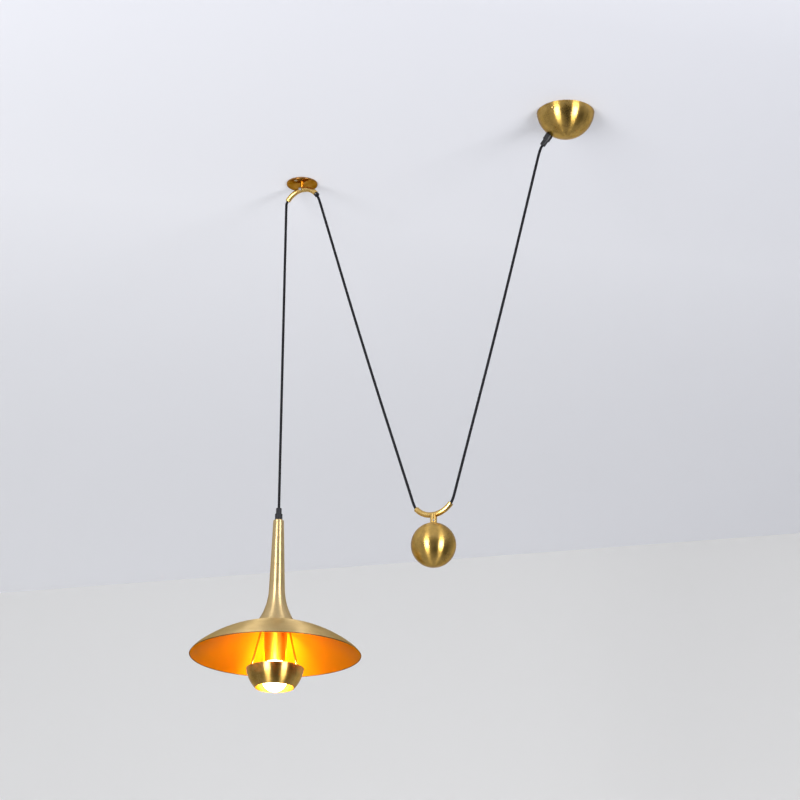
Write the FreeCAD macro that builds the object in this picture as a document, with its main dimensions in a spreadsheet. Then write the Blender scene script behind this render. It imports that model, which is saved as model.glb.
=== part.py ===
import FreeCAD, Part
import math
import os
import re

import Sketcher

# A rise and fall pendant. A textile cord leaves a canopy on the ceiling, hangs in a V through
# the saddle tube of a ball counterweight, goes over a bent tube under a second ceiling plate
# and carries the lamp. Millimetres, +Z up. The origin is the centre of the canopy's ceiling
# face, and the second plate lies towards -X.

SIZES = {
    # cord and the small clearances
    "cord_diameter": 5.6,
    "fit_gap": 0.1,  # radial clearance of a thread or a bore on what it holds
    "seat_gap": 0.05,  # where a curved face is seated on another
    "loose_gap": 0.3,  # between pieces that move on each other
    # canopy
    "canopy_radius": 60.0,
    "canopy_depth": 54.5,
    "canopy_wall": 1.2,
    "side_screw_drop": 12.5,
    "side_screw_radius": 2.0,
    "side_screw_length": 9.0,
    "side_head_radius": 3.2,
    "side_head_height": 2.2,
    # ceiling bracket inside the canopy
    "bracket_width": 18.0,
    "bracket_thickness": 2.0,
    "bracket_tab": 20.0,
    "bracket_wall_gap": 2.5,
    "slot_spacing": 64.0,
    "slot_length": 12.0,
    "slot_width": 5.0,
    "block_length": 27.0,
    "block_width": 16.0,
    "block_height": 13.0,
    "block_entry_run": 3.9,
    "block_screw_radius": 1.6,
    "block_screw_height": 7.0,
    "earth_screw_radius": 2.0,
    "earth_screw_place": 19.0,
    "earth_head_radius": 4.0,
    "earth_head_height": 2.5,
    # cord grips on the canopy and on the lamp
    "grip_lean": 40.0,  # of the canopy's grip, from straight down
    "grip_radius": 8.0,
    "grip_length": 13.5,
    "grip_nose_radius": 6.0,
    "grip_nose_length": 13.5,
    "grip_spigot_radius": 4.2,
    "grip_spigot_length": 5.0,
    "thread_radius": 5.0,
    "grip_thread_length": 10.0,
    "locknut_radius": 7.5,
    "locknut_height": 4.0,
    # ceiling plate with the bent tube
    "hook_distance": 656.0,
    "plate_radius": 34.0,
    "plate_thickness": 3.0,
    "plate_edge": 0.8,
    "plate_screw_spacing": 50.0,
    "plate_screw_radius": 2.0,
    "plate_screw_length": 35.0,
    "plate_head_radius": 4.0,
    "stem_radius": 4.0,
    "stem_screw_radius": 1.5,
    "stem_screw_length": 6.0,
    "stem_head_radius": 2.8,
    "tube_radius": 5.6,
    "tube_bore_radius": 3.5,
    "arch_drop": 15.0,  # ceiling to the centre line at the top of the arch
    "arch_radius": 46.0,
    "arch_half_angle": 54.0,
    "tube_screw_radius": 1.5,
    "tube_screw_head_radius": 3.6,
    "tube_screw_head_height": 3.2,
    # cord stop
    "stop_radius": 5.3,
    "stop_length": 5.0,
    "stop_screw_radius": 1.0,
    # counterweight
    "weight_distance": 318.5,
    "saddle_drop": 830.0,  # ceiling to the centre line at the bottom of the saddle
    "saddle_radius": 54.0,
    "saddle_half_angle": 48.5,
    "neck_radius": 6.9,
    "neck_length": 13.4,
    "neck_screw_drop": 8.0,
    "neck_screw_radius": 1.5,
    "neck_screw_angle": -60.0,
    "ball_radius": 46.0,
    "ball_wall": 2.5,
    "stud_radius": 4.0,
    "stud_length": 38.0,
    "stud_in_neck": 8.5,
    # cord runs beyond the tubes and the grip
    "lamp_exit_run": 6.0,
    "hook_exit_run": 10.0,
    "saddle_exit_run": 7.0,
    "grip_exit_run": 8.0,
    "exit_share": 0.9,  # of an exit run, taken by the bend at its end
    "lamp_cord_start": 8.0,  # straight cord below the bend, before the free stretch
    # lamp: dome
    "shade_rim_drop": 1073.0,
    "shade_radius": 178.0,
    "shade_height": 69.7,
    "shade_wall": 0.8,
    "crown_flatness": 1.033,  # the crown's radius over that of a plain cap of the same height
    "knuckle_radius": 60.0,
    # lamp: stem
    "lamp_stem_height": 227.42,
    "lamp_stem_top_radius": 11.2,
    "lamp_stem_wall": 1.0,
    "lamp_stem_plate": 1.5,
    "lamp_stem_round": 2.0,
    "flare_start_radius": 16.7,
    "flare_height": 75.0,
    "foot_radius": 43.0,
    "coupling_radius": 7.8,
    "coupling_height": 20.0,
    "lamp_tube_bore_radius": 3.7,
    # lamp: carrier, rods and cup
    "carrier_radius": 33.0,
    "carrier_thickness": 4.0,
    "rod_count": 3,
    "rod_radius": 2.0,
    "rod_top_circle": 29.5,
    "rod_in_cup": 5.0,
    "cup_rim_drop": 28.0,  # below the shade's rim
    "cup_radius": 59.5,
    "cup_height": 40.4,
    "cup_foot_radius": 41.0,
    "cup_arc_radius": 72.0,
    "cup_wall": 1.2,
    # lamp: cover and lampholder
    "cover_radius": 24.0,
    "cover_height": 78.9,
    "cover_wall": 1.0,
    "cover_plate": 1.5,
    "cover_round": 2.0,
    "clamp_nut_radius": 9.5,
    "clamp_nut_height": 5.0,
    "holder_top_drop": 6.9,  # below the top of the cover
    "holder_radius": 20.0,
    "holder_cap_height": 16.0,
    "holder_cap_shoulder": 9.0,
    "holder_cap_wall": 3.0,
    "holder_thread_depth": 10.0,
    "holder_height": 46.0,
    "socket_depth": 30.0,
    "shell_radius": 14.2,
    "shell_wall": 0.5,
    "shell_length": 24.0,
    "contact_radius": 4.0,
    "contact_height": 3.0,
    # bulb
    "bulb_length": 98.0,
    "bulb_globe_radius": 26.0,
    "bulb_cap_radius": 13.2,
    "bulb_cap_length": 24.0,
    "bulb_tip_radius": 4.5,
    "bulb_tip_height": 3.0,
    "bulb_neck_radius": 12.6,
    "bulb_wall": 0.8,
    "bulb_in_cap": 3.0,
}

# Places and sizes that follow from the driving ones.
PLACES = {
    "cord_radius": "cord_diameter / 2",
    "canopy_sphere": "(canopy_radius ^ 2 + canopy_depth ^ 2) / (2 * canopy_depth)",
    "canopy_centre": "canopy_sphere - canopy_depth",
    "side_screw_lean": "asin((canopy_centre + side_screw_drop) / canopy_sphere) / (1 deg)",
    "tab_reach": "canopy_sphere - canopy_wall - bracket_wall_gap",
    "tab_top": "tab_reach * cos(side_screw_lean) + tab_rise * sin(side_screw_lean)",
    "tab_rise": "(tab_reach * sin(side_screw_lean) - canopy_centre) / cos(side_screw_lean)",
    "grip_seat": "sqrt(canopy_sphere ^ 2 - (thread_radius + fit_gap) ^ 2) + seat_gap",
    "locknut_seat": "sqrt((canopy_sphere - canopy_wall) ^ 2 - locknut_radius ^ 2) - seat_gap",
    "grip_seat_x": "-grip_seat * sin(grip_lean)",
    "grip_seat_z": "canopy_centre - grip_seat * cos(grip_lean)",
    "grip_end": "grip_seat + grip_length + grip_nose_length",
    "grip_end_x": "-grip_end * sin(grip_lean)",
    "grip_end_z": "canopy_centre - grip_end * cos(grip_lean)",
    "arch_centre_z": "-arch_drop - arch_radius",
    "arch_reach": "arch_radius * sin(arch_half_angle)",
    "arch_end_z": "arch_centre_z + arch_radius * cos(arch_half_angle)",
    "stop_seat_x": "-hook_distance + arch_reach + loose_gap * cos(arch_half_angle)",
    "stop_seat_z": "arch_end_z - loose_gap * sin(arch_half_angle)",
    "lamp_x": "-hook_distance - arch_reach - lamp_exit_run * cos(arch_half_angle)",
    "saddle_centre_z": "-saddle_drop + saddle_radius",
    "saddle_reach": "saddle_radius * sin(saddle_half_angle)",
    "saddle_end_z": "saddle_centre_z - saddle_radius * cos(saddle_half_angle)",
    "neck_top_z": "-saddle_drop - tube_radius",
    "neck_foot_z": "neck_top_z - neck_length",
    "ball_centre_z": "neck_foot_z - seat_gap - sqrt(ball_radius ^ 2 - neck_radius ^ 2)",
    "stud_top_z": "neck_foot_z + stud_in_neck",
    "cap_radius": "(shade_radius ^ 2 + shade_height ^ 2) / (2 * shade_height)",
    "crown_radius": "crown_flatness * cap_radius",
    "crown_centre": "shade_height - crown_radius",
    "rim_reach": "sqrt(shade_radius ^ 2 + crown_centre ^ 2)",
    "knuckle_arm": "crown_radius - knuckle_radius",
    "knuckle_span": "knuckle_arm ^ 2 + rim_reach ^ 2 - knuckle_radius ^ 2",
    "knuckle_cosine": "knuckle_span / (2 * knuckle_arm * rim_reach)",
    "knuckle_lean": "(atan(shade_radius / -crown_centre) - acos(knuckle_cosine)) / (1 deg)",
    "knuckle_x": "knuckle_arm * sin(knuckle_lean)",
    "knuckle_z": "crown_centre + knuckle_arm * cos(knuckle_lean)",
    "crown_inner": "crown_radius - shade_wall",
    "knuckle_inner": "knuckle_radius - shade_wall",
    "shade_bore": "thread_radius + fit_gap",
    "shade_top_z": "shade_height - shade_rim_drop",
    "foot_inner_radius": "flare_centre_x - sqrt((flare_arc + lamp_stem_wall) ^ 2 - flare_centre_z ^ 2)",
    "foot_sink": "crown_radius - sqrt(crown_radius ^ 2 - foot_inner_radius ^ 2)",
    "foot_z": "shade_top_z - foot_sink + seat_gap",
    "cone_slope": "(flare_start_radius - lamp_stem_top_radius) / (lamp_stem_height - flare_height)",
    "cone_lean": "atan(cone_slope) / (1 deg)",
    "flare_spread": "foot_radius - flare_start_radius",
    "flare_turn": "atan(flare_spread / flare_height) / (1 deg) - cone_lean",
    "flare_arc": "sqrt(flare_spread ^ 2 + flare_height ^ 2) / (2 * sin(flare_turn))",
    "flare_centre_x": "flare_start_radius + flare_arc * cos(cone_lean)",
    "flare_centre_z": "flare_height + flare_arc * sin(cone_lean)",
    "lamp_stem_top_z": "foot_z + lamp_stem_height",
    "lamp_grip_end_z": "lamp_stem_top_z + grip_length + grip_nose_length",
    "coupling_top_z": "lamp_stem_top_z - lamp_stem_plate",
    "lamp_tube_top_z": "lamp_stem_top_z - grip_thread_length - loose_gap",
    "carrier_sink": "crown_inner - sqrt(crown_inner ^ 2 - carrier_radius ^ 2)",
    "carrier_top_z": "shade_top_z - shade_wall - carrier_sink - seat_gap",
    "cover_top_z": "carrier_top_z - carrier_thickness",
    "cup_rim_z": "-shade_rim_drop - cup_rim_drop",
    "cup_run": "cup_radius - cup_foot_radius",
    "cup_chord": "sqrt(cup_run ^ 2 + cup_height ^ 2)",
    "cup_bow": "sqrt(cup_arc_radius ^ 2 - cup_chord ^ 2 / 4)",
    "cup_centre_x": "(cup_radius + cup_foot_radius) / 2 - cup_bow * cup_height / cup_chord",
    "cup_centre_z": "cup_bow * cup_run / cup_chord - cup_height / 2",
    "cup_inner": "cup_arc_radius - cup_wall",
    "rod_foot_depth": "cup_centre_z + rod_in_cup",
    "rod_foot_reach": "cup_centre_x + sqrt(cup_inner ^ 2 - rod_foot_depth ^ 2)",
    "rod_foot_z": "cup_rim_z - rod_in_cup",
    "rod_top_z": "carrier_top_z - carrier_thickness / 2",
    "rod_foot_circle": "rod_foot_reach - rod_radius - 2 * seat_gap",
    "rod_lean": "atan((rod_foot_circle - rod_top_circle) / (rod_top_z - rod_foot_z)) / (1 deg)",
    "rod_length": "(rod_top_z - rod_foot_z) / cos(rod_lean)",
    "clamp_nut_z": "cover_top_z - cover_plate - clamp_nut_height",
    "holder_top_z": "cover_top_z - holder_top_drop",
    "holder_split_z": "holder_top_z - holder_cap_height",
    "holder_foot_z": "holder_split_z - holder_height",
    "socket_top_z": "holder_foot_z + socket_depth",
    "lamp_tube_foot_z": "holder_top_z - holder_thread_depth",
    "bulb_tip_z": "socket_top_z - contact_height - seat_gap",
    "bulb_centre_z": "bulb_tip_z - bulb_length + bulb_globe_radius",
    "bulb_neck_height": "bulb_length - bulb_globe_radius - bulb_cap_length",
    "bulb_reach": "sqrt(bulb_neck_radius ^ 2 + bulb_neck_height ^ 2)",
    "bulb_slope": "atan(bulb_neck_height / bulb_neck_radius)",
    "bulb_join": "(bulb_slope - acos(bulb_globe_radius / bulb_reach)) / (1 deg)",
}

doc = FreeCAD.newDocument("rise_and_fall_pendant")


def fill_sheet(name, cells):
    """Write one spreadsheet with a word, a value and an alias on each row."""
    page = doc.addObject("Spreadsheet::Sheet", name)
    for row, (word, content) in enumerate(cells.items(), start=1):
        page.set(f"A{row}", word)
        page.set(f"B{row}", str(content))
        page.setAlias(f"B{row}", word)
    doc.recompute()
    return page


def bound(text):
    """Point the words of an expression at the cells of the two spreadsheets."""

    def cell(match):
        word = match.group(0)
        if word in SIZES:
            return "Sizes." + word
        return "Places." + word if word in PLACES else word

    return re.sub(r"[a-z][a-z_]*", cell, text)


sheet = fill_sheet("Sizes", SIZES)
places = fill_sheet("Places", {word: "=" + bound(text) for word, text in PLACES.items()})


def value(text):
    """The number that an expression gives now."""
    return float(places.evalExpression(bound(text)))


def put(piece, x="0", y="0", z="0", axis=(0, 0, 1), angle="0"):
    """Place a piece by expressions, turned about an axis through its own origin."""
    turned_by = FreeCAD.Rotation(FreeCAD.Vector(*axis), value(angle))
    piece.Placement = FreeCAD.Placement(FreeCAD.Vector(value(x), value(y), value(z)), turned_by)
    for key, text in (("x", x), ("y", y), ("z", z)):
        piece.setExpression("Placement.Base." + key, bound(text))
    if re.search("[a-z]", angle):
        piece.setExpression("Placement.Rotation.Angle", bound(angle))
    return piece


def plane(body, role):
    """One of a body's own origin planes."""
    return next(part for part in body.Origin.OriginFeatures if part.Role == role)


def new_sketch(body, role):
    sketch = body.newObject("Sketcher::SketchObject", body.Name + "_outline")
    sketch.AttachmentSupport = (plane(body, role), [""])
    sketch.MapMode = "FlatFace"
    return sketch


def hold(sketch, kind, expression, *where):
    """A dimension bound to an expression."""
    index = sketch.addConstraint(Sketcher.Constraint(kind, *where, value(expression)))
    sketch.setExpression(f"Constraints[{index}]", bound(expression))


def arc_between(start, end, radius, left):
    """The short arc from start to end whose centre is on the left, or on the right."""
    chord = end - start
    side = FreeCAD.Vector(-chord.y, chord.x, 0) / chord.Length
    height = math.sqrt(max(radius**2 - chord.Length**2 / 4, 0))
    centre = (start + end) / 2 + side * (height if left else -height)
    first, last = (start, end) if left else (end, start)
    begin = math.atan2(first.y - centre.y, first.x - centre.x)
    finish = math.atan2(last.y - centre.y, last.x - centre.x)
    circle = Part.Circle(centre, FreeCAD.Vector(0, 0, 1), radius)
    return Part.ArcOfCircle(circle, begin, finish)


def draw(sketch, corners):
    """Draw a closed outline. A corner is (x, z) before a straight edge, or
    (x, z, radius, side) before an arc whose centre lies on that side of the way."""
    spots = [FreeCAD.Vector(value(corner[0]), value(corner[1]), 0) for corner in corners]
    starts = []
    for number, corner in enumerate(corners):
        start = spots[number]
        end = spots[(number + 1) % len(corners)]
        if len(corner) == 2:
            sketch.addGeometry(Part.LineSegment(start, end))
            starts.append((1, 2))
            continue
        left = corner[3] == "left"
        sketch.addGeometry(arc_between(start, end, value(corner[2]), left))
        starts.append((1, 2) if left else (2, 1))
    for number, corner in enumerate(corners):
        following = (number + 1) % len(corners)
        ends = Sketcher.Constraint("Coincident", number, starts[number][1], following, starts[following][0])
        sketch.addConstraint(ends)
    for number, corner in enumerate(corners):
        vertex = starts[number][0]
        if corner[0] == "0":
            sketch.addConstraint(Sketcher.Constraint("PointOnObject", number, vertex, -2))
        else:
            hold(sketch, "DistanceX", corner[0], -1, 1, number, vertex)
        if corner[1] == "0":
            sketch.addConstraint(Sketcher.Constraint("PointOnObject", number, vertex, -1))
        else:
            hold(sketch, "DistanceY", corner[1], -1, 1, number, vertex)
        if len(corner) > 2:
            hold(sketch, "Radius", corner[2], number)


def turned(label, corners):
    """A turned or spun piece: a closed outline in the XZ plane, revolved about Z."""
    body = doc.addObject("PartDesign::Body", label)
    sketch = new_sketch(body, "XZ_Plane")
    draw(sketch, corners)
    turn = body.newObject("PartDesign::Revolution", label + "_turn")
    turn.Profile = sketch
    turn.ReferenceAxis = (sketch, ["V_Axis"])
    turn.Angle = 360
    sketch.Visibility = False
    doc.recompute()
    return body


def bent_tube(label, bend_radius, half_angle, side):
    """A tube bent to an arc in the XZ plane about the body's origin, its middle up or down."""
    body = doc.addObject("PartDesign::Body", label)
    sketch = new_sketch(body, "YZ_Plane")
    middle = f"{bend_radius}" if side == "up" else f"-{bend_radius}"
    for number, radius in enumerate(("tube_radius", "tube_bore_radius")):
        centre = FreeCAD.Vector(0, value(middle), 0)
        sketch.addGeometry(Part.Circle(centre, FreeCAD.Vector(0, 0, 1), value(radius)))
        sketch.addConstraint(Sketcher.Constraint("PointOnObject", number, 3, -2))
        hold(sketch, "DistanceY", middle, -1, 1, number, 3)
        hold(sketch, "Radius", radius, number)
    bend = body.newObject("PartDesign::Revolution", label + "_bend")
    bend.Profile = sketch
    bend.ReferenceAxis = (sketch, ["H_Axis"])
    bend.Midplane = True
    bend.Angle = 2 * value(half_angle)
    bend.setExpression("Angle", bound(f"2 * {half_angle}"))
    doc.recompute()
    return body


def cylinder(name, radius, height):
    rod = doc.addObject("Part::Cylinder", name)
    rod.setExpression("Radius", bound(radius))
    rod.setExpression("Height", bound(height))
    return rod


def box(name, length, width, height):
    block = doc.addObject("Part::Box", name)
    block.setExpression("Length", bound(length))
    block.setExpression("Width", bound(width))
    block.setExpression("Height", bound(height))
    return block


def hexagon(name, corner_radius, height):
    prism = doc.addObject("Part::Prism", name)
    prism.Polygon = 6
    prism.setExpression("Circumradius", bound(corner_radius))
    prism.setExpression("Height", bound(height))
    return prism


def fuse(label, pieces):
    whole = doc.addObject("Part::MultiFuse", label)
    whole.Shapes = pieces
    doc.recompute()
    return whole


def cut(label, base, tool):
    rest = doc.addObject("Part::Cut", label)
    rest.Base = base
    rest.Tool = tool
    doc.recompute()
    return rest


def group(label, pieces):
    """Separate solids that share one node."""
    whole = doc.addObject("Part::Compound", label)
    whole.Links = pieces
    doc.recompute()
    return whole


def nut(label, corner_radius, height, x, z, axis=(0, 0, 1), angle="0"):
    """A hexagonal nut on the lamp's thread size, its lower face at the given place."""
    bore_height = f"{height} + 2 * loose_gap"
    prism = hexagon(label + "_hexagon", corner_radius, height)
    bore = put(cylinder(label + "_bore", "thread_radius + fit_gap", bore_height), z="-loose_gap")
    return put(cut(label, prism, bore), x=x, z=z, axis=axis, angle=angle)


def round_head_screw(name, shank_radius, shank_length, head_radius, head_height):
    """A screw along Z: its head's seat at the origin, its shank downwards."""
    corners = [
        ("0", f"-({shank_length})"),
        (shank_radius, f"-({shank_length})"),
        (shank_radius, "0"),
        (head_radius, "0"),
        (head_radius, f"{head_height} / 2"),
        (f"{head_radius} / 2", head_height),
        ("0", head_height),
    ]
    return turned(name, corners)


NODES = []


def node(piece):
    """Keep a finished piece as a node, named by its label."""
    NODES.append(piece)
    return piece


# ---- ceiling bracket, canopy and what the canopy covers ----


def make_bracket():
    """A steel strap with bent ends, two ceiling slots and a tapped hole in each end."""
    strap = box("strap", "bracket_width", "2 * tab_top", "bracket_thickness")
    put(strap, x="-bracket_width / 2", y="-tab_top", z="-bracket_thickness")
    pieces = [strap]
    holes = []
    tab_foot = "(tab_top - bracket_tab * sin(side_screw_lean))"
    for name, side, angle in (("near", "-", "-side_screw_lean"), ("far", "", "side_screw_lean")):
        tab = box(name + "_tab", "bracket_width", "bracket_thickness", "bracket_tab")
        inward = "0" if side else "bracket_thickness"
        put(
            tab,
            x="-bracket_width / 2",
            y=f"{side}{tab_foot} - {inward} * cos(side_screw_lean)",
            z=f"-bracket_tab * cos(side_screw_lean) + {inward} * sin(side_screw_lean)",
            axis=(1, 0, 0),
            angle=f"-({angle})",
        )
        pieces.append(tab)
        slot_y = f"{side}slot_spacing / 2"
        straight = box(name + "_slot", "slot_width", "slot_length - slot_width", "2 * bracket_thickness")
        put(
            straight,
            x="-slot_width / 2",
            y=f"{slot_y} - (slot_length - slot_width) / 2",
            z="-1.5 * bracket_thickness",
        )
        holes.append(straight)
        for end, reach in (("inner", "-"), ("outer", "+")):
            round_end = cylinder(f"{name}_{end}_slot_end", "slot_width / 2", "2 * bracket_thickness")
            put(
                round_end,
                y=f"{slot_y} {reach} (slot_length - slot_width) / 2",
                z="-1.5 * bracket_thickness",
            )
            holes.append(round_end)
    for name, angle in (("near", "90 + side_screw_lean"), ("far", "-90 - side_screw_lean")):
        tapped = cylinder(name + "_tapped_hole", "side_screw_radius + fit_gap", "canopy_sphere")
        put(tapped, z="canopy_centre", axis=(1, 0, 0), angle=angle)
        holes.append(tapped)
    earth_hole = cylinder("earth_hole", "earth_screw_radius + fit_gap", "2 * bracket_thickness")
    put(earth_hole, y="earth_screw_place", z="-1.5 * bracket_thickness")
    holes.append(earth_hole)
    above = box("above_ceiling", "4 * bracket_width", "4 * canopy_radius", "bracket_tab")
    put(above, x="-2 * bracket_width", y="-2 * canopy_radius")
    holes.append(above)
    blank = fuse("bracket_blank", pieces)
    return cut("ceiling_bracket", blank, fuse("bracket_holes", holes))


def make_canopy():
    """A spun brass bowl with a hole for the cord grip and two for the side screws."""
    inner = "canopy_sphere - canopy_wall"
    bowl = turned(
        "canopy_bowl",
        [
            ("canopy_radius", "0", "canopy_sphere", "right"),
            ("0", "-canopy_depth"),
            ("0", "canopy_wall - canopy_depth", inner, "left"),
            (f"sqrt(({inner}) ^ 2 - canopy_centre ^ 2)", "0"),
        ],
    )
    grip_hole = cylinder("grip_hole", "thread_radius + fit_gap", "2 * canopy_sphere")
    put(grip_hole, z="canopy_centre", axis=(0, 1, 0), angle="180 + grip_lean")
    holes = [grip_hole]
    for name, angle in (("near", "90 + side_screw_lean"), ("far", "-90 - side_screw_lean")):
        hole = cylinder(name + "_side_hole", "side_screw_radius + fit_gap", "2 * canopy_sphere")
        put(hole, z="canopy_centre", axis=(1, 0, 0), angle=angle)
        holes.append(hole)
    return cut("canopy_cup", bowl, fuse("canopy_holes", holes))


def make_side_screws():
    """Two round-headed screws that hold the canopy on the bracket's ends."""
    seat = "sqrt(canopy_sphere ^ 2 - side_screw_radius ^ 2) + seat_gap"
    screws = []
    for name, side, angle in (
        ("near", "-", "90 + side_screw_lean"),
        ("far", "", "-90 - side_screw_lean"),
    ):
        screw = round_head_screw(
            name + "_side_screw",
            "side_screw_radius",
            "side_screw_length",
            "side_head_radius",
            "side_head_height",
        )
        put(
            screw,
            y=f"{side}({seat}) * cos(side_screw_lean)",
            z=f"canopy_centre - ({seat}) * sin(side_screw_lean)",
            axis=(1, 0, 0),
            angle=angle,
        )
        screws.append(screw)
    return group("canopy_side_screws", screws)


def make_terminal_block():
    """A moulded three-way block under the bracket, with holes for its screws."""
    block = box("block", "block_width", "block_length", "block_height")
    put(block, x="-block_width / 2", y="-block_length / 2", z="-bracket_thickness - block_height")
    holes = []
    for number, place in enumerate(block_screw_places()):
        radius = "block_screw_radius + fit_gap"
        hole = cylinder(f"block_hole_{number}", radius, "block_screw_height + fit_gap")
        holes.append(put(hole, x=place[0], y=place[1], z="-bracket_thickness - block_height - fit_gap"))
    return cut("terminal_block", block, fuse("block_holes", holes))


def block_screw_places():
    """Two rows of three."""
    across = ("-block_width / 4", "block_width / 4")
    along = ("-block_length / 3", "0", "block_length / 3")
    return [(x, y) for x in across for y in along]


def make_terminal_screws():
    screws = []
    for number, place in enumerate(block_screw_places()):
        screw = cylinder(f"terminal_screw_{number}", "block_screw_radius", "block_screw_height - fit_gap")
        screws.append(put(screw, x=place[0], y=place[1], z="-bracket_thickness - block_height"))
    return group("terminal_screws", screws)


def make_earth_screw():
    screw = round_head_screw(
        "earth_screw",
        "earth_screw_radius",
        "bracket_thickness",
        "earth_head_radius",
        "earth_head_height",
    )
    return put(screw, y="earth_screw_place", z="-bracket_thickness - seat_gap", axis=(1, 0, 0), angle="180")


node(make_bracket())
node(make_canopy())
node(make_side_screws())
node(make_terminal_block())
node(make_terminal_screws())
node(make_earth_screw())

# ---- cord grips ----


def make_grip(name, x, z, angle):
    """A grip's collar with its threaded end, and the nose that is screwed into it.
    Their own Z runs out along the cord, from the face that the collar sits on."""
    bore = "cord_radius + 2 * fit_gap"
    socket = "grip_length - grip_spigot_length - loose_gap"
    body = turned(
        name + "_body",
        [
            (bore, "-grip_thread_length"),
            ("thread_radius", "-grip_thread_length"),
            ("thread_radius", "0"),
            ("grip_radius", "0"),
            ("grip_radius", "grip_length"),
            ("grip_spigot_radius + fit_gap", "grip_length"),
            ("grip_spigot_radius + fit_gap", socket),
            (bore, socket),
        ],
    )
    nose_end = "grip_length + grip_nose_length"
    nose = turned(
        name + "_nose",
        [
            ("cord_radius + fit_gap", "grip_length - grip_spigot_length"),
            ("grip_spigot_radius", "grip_length - grip_spigot_length"),
            ("grip_spigot_radius", "grip_length"),
            ("grip_nose_radius", "grip_length"),
            ("grip_nose_radius", f"{nose_end} - grip_nose_radius / 4", "grip_nose_radius / 4", "left"),
            ("0.75 * grip_nose_radius", nose_end),
            ("cord_radius + fit_gap", nose_end),
        ],
    )
    for piece in (body, nose):
        node(put(piece, x=x, z=z, axis=(0, 1, 0), angle=angle))


make_grip("canopy_grip", "grip_seat_x", "grip_seat_z", "180 + grip_lean")
node(
    nut(
        "canopy_grip_locknut",
        "locknut_radius",
        "locknut_height",
        "-locknut_seat * sin(grip_lean)",
        "canopy_centre - locknut_seat * cos(grip_lean)",
        axis=(0, 1, 0),
        angle="grip_lean",
    )
)
make_grip("lamp_grip", "lamp_x", "lamp_stem_top_z", "0")

# ---- ceiling plate with the bent tube ----


def countersunk(name, shank_radius, length, head_radius, above):
    """A countersunk screw along Z, its head flush at z = 0 and its shank upwards."""
    sink = f"({head_radius} - {shank_radius})"
    return turned(
        name,
        [
            ("0", "0"),
            (head_radius, "0"),
            (shank_radius, sink),
            (shank_radius, f"{length} - {above}"),
            ("0", length),
        ],
    )


def countersink(name, shank_radius, head_radius, depth):
    """The hole for such a screw, a fit larger all round."""
    sink = f"({head_radius} - {shank_radius})"
    return turned(
        name,
        [
            ("0", "-loose_gap"),
            (f"{head_radius} + fit_gap", "-loose_gap"),
            (f"{head_radius} + fit_gap", "0"),
            (f"{shank_radius} + fit_gap", sink),
            (f"{shank_radius} + fit_gap", f"{depth} + loose_gap"),
            ("0", f"{depth} + loose_gap"),
        ],
    )


PLATE_SCREW_PLACES = ("-plate_screw_spacing / 2", "plate_screw_spacing / 2")  # across the tube


def make_plate():
    """A polished disc, drilled for two ceiling screws and for the stem's own screw."""
    disc = turned(
        "plate_disc",
        [
            ("0", "-plate_thickness"),
            ("plate_radius - plate_edge", "-plate_thickness", "plate_edge", "left"),
            ("plate_radius", "plate_edge - plate_thickness"),
            ("plate_radius", "0"),
            ("0", "0"),
        ],
    )
    put(disc, x="-hook_distance")
    holes = []
    for number, y in enumerate(PLATE_SCREW_PLACES):
        radii = ("plate_screw_radius", "plate_head_radius")
        hole = countersink(f"plate_hole_{number}", *radii, "plate_thickness")
        holes.append(put(hole, x="-hook_distance", y=y, z="-plate_thickness"))
    top_hole = countersink("plate_stem_hole", "stem_screw_radius", "stem_head_radius", "plate_thickness")
    holes.append(put(top_hole, x="-hook_distance", axis=(1, 0, 0), angle="180"))
    return cut("hook_plate", disc, fuse("plate_holes", holes))


def make_plate_screws():
    """Countersunk screws: a tapered neck in the plate and a full thread above it."""
    neck = "(plate_screw_radius - 2 * fit_gap)"
    thread_start = "plate_thickness + loose_gap"
    screws = []
    for number, y in enumerate(PLATE_SCREW_PLACES):
        screw = turned(
            f"plate_screw_{number}",
            [
                ("0", "0"),
                ("plate_head_radius", "0"),
                (neck, f"plate_head_radius - {neck}"),
                ("plate_screw_radius", thread_start),
                ("plate_screw_radius", "plate_screw_length - 2 * plate_screw_radius"),
                ("0", "plate_screw_length"),
            ],
        )
        screws.append(put(screw, x="-hook_distance", y=y, z="-plate_thickness"))
    return group("hook_plate_screws", screws)


def ring_of_tube(name, bend_radius, x, z):
    """The solid ring that a bent tube is part of, for cutting a saddle into what meets it."""
    ring = doc.addObject("Part::Torus", name)
    ring.setExpression("Radius1", bound(bend_radius))
    ring.setExpression("Radius2", bound("tube_radius + seat_gap"))
    return put(ring, x=x, z=z, axis=(1, 0, 0), angle="90")


def make_hook_stem():
    """A short turned stem between the plate and the bent tube, tapped at its top."""
    blank = cylinder("hook_stem_blank", "stem_radius", "arch_drop - plate_thickness")
    put(blank, x="-hook_distance", z="-arch_drop")
    ring = ring_of_tube("arch_ring", "arch_radius", "-hook_distance", "arch_centre_z")
    tapped = cylinder("hook_stem_tapped_hole", "stem_screw_radius + fit_gap", "stem_screw_length")
    put(tapped, x="-hook_distance", z="-stem_screw_length - fit_gap")
    return cut("hook_stem", blank, fuse("hook_stem_cuts", [ring, tapped]))


def make_stem_screw():
    screw = countersunk(
        "hook_stem_screw",
        "stem_screw_radius",
        "stem_screw_length",
        "stem_head_radius",
        "stem_screw_radius / 2",
    )
    return put(screw, x="-hook_distance", axis=(1, 0, 0), angle="180")


def make_hook_tube():
    """The bent tube, drilled at the top of its near side."""
    blank = bent_tube("hook_tube_blank", "arch_radius", "arch_half_angle", "up")
    hole = cylinder("hook_tube_side_hole", "tube_screw_radius + fit_gap", "2 * tube_radius")
    put(hole, z="arch_radius", axis=(1, 0, 0), angle="90")
    return put(cut("hook_tube", blank, hole), x="-hook_distance", z="arch_centre_z")


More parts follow.
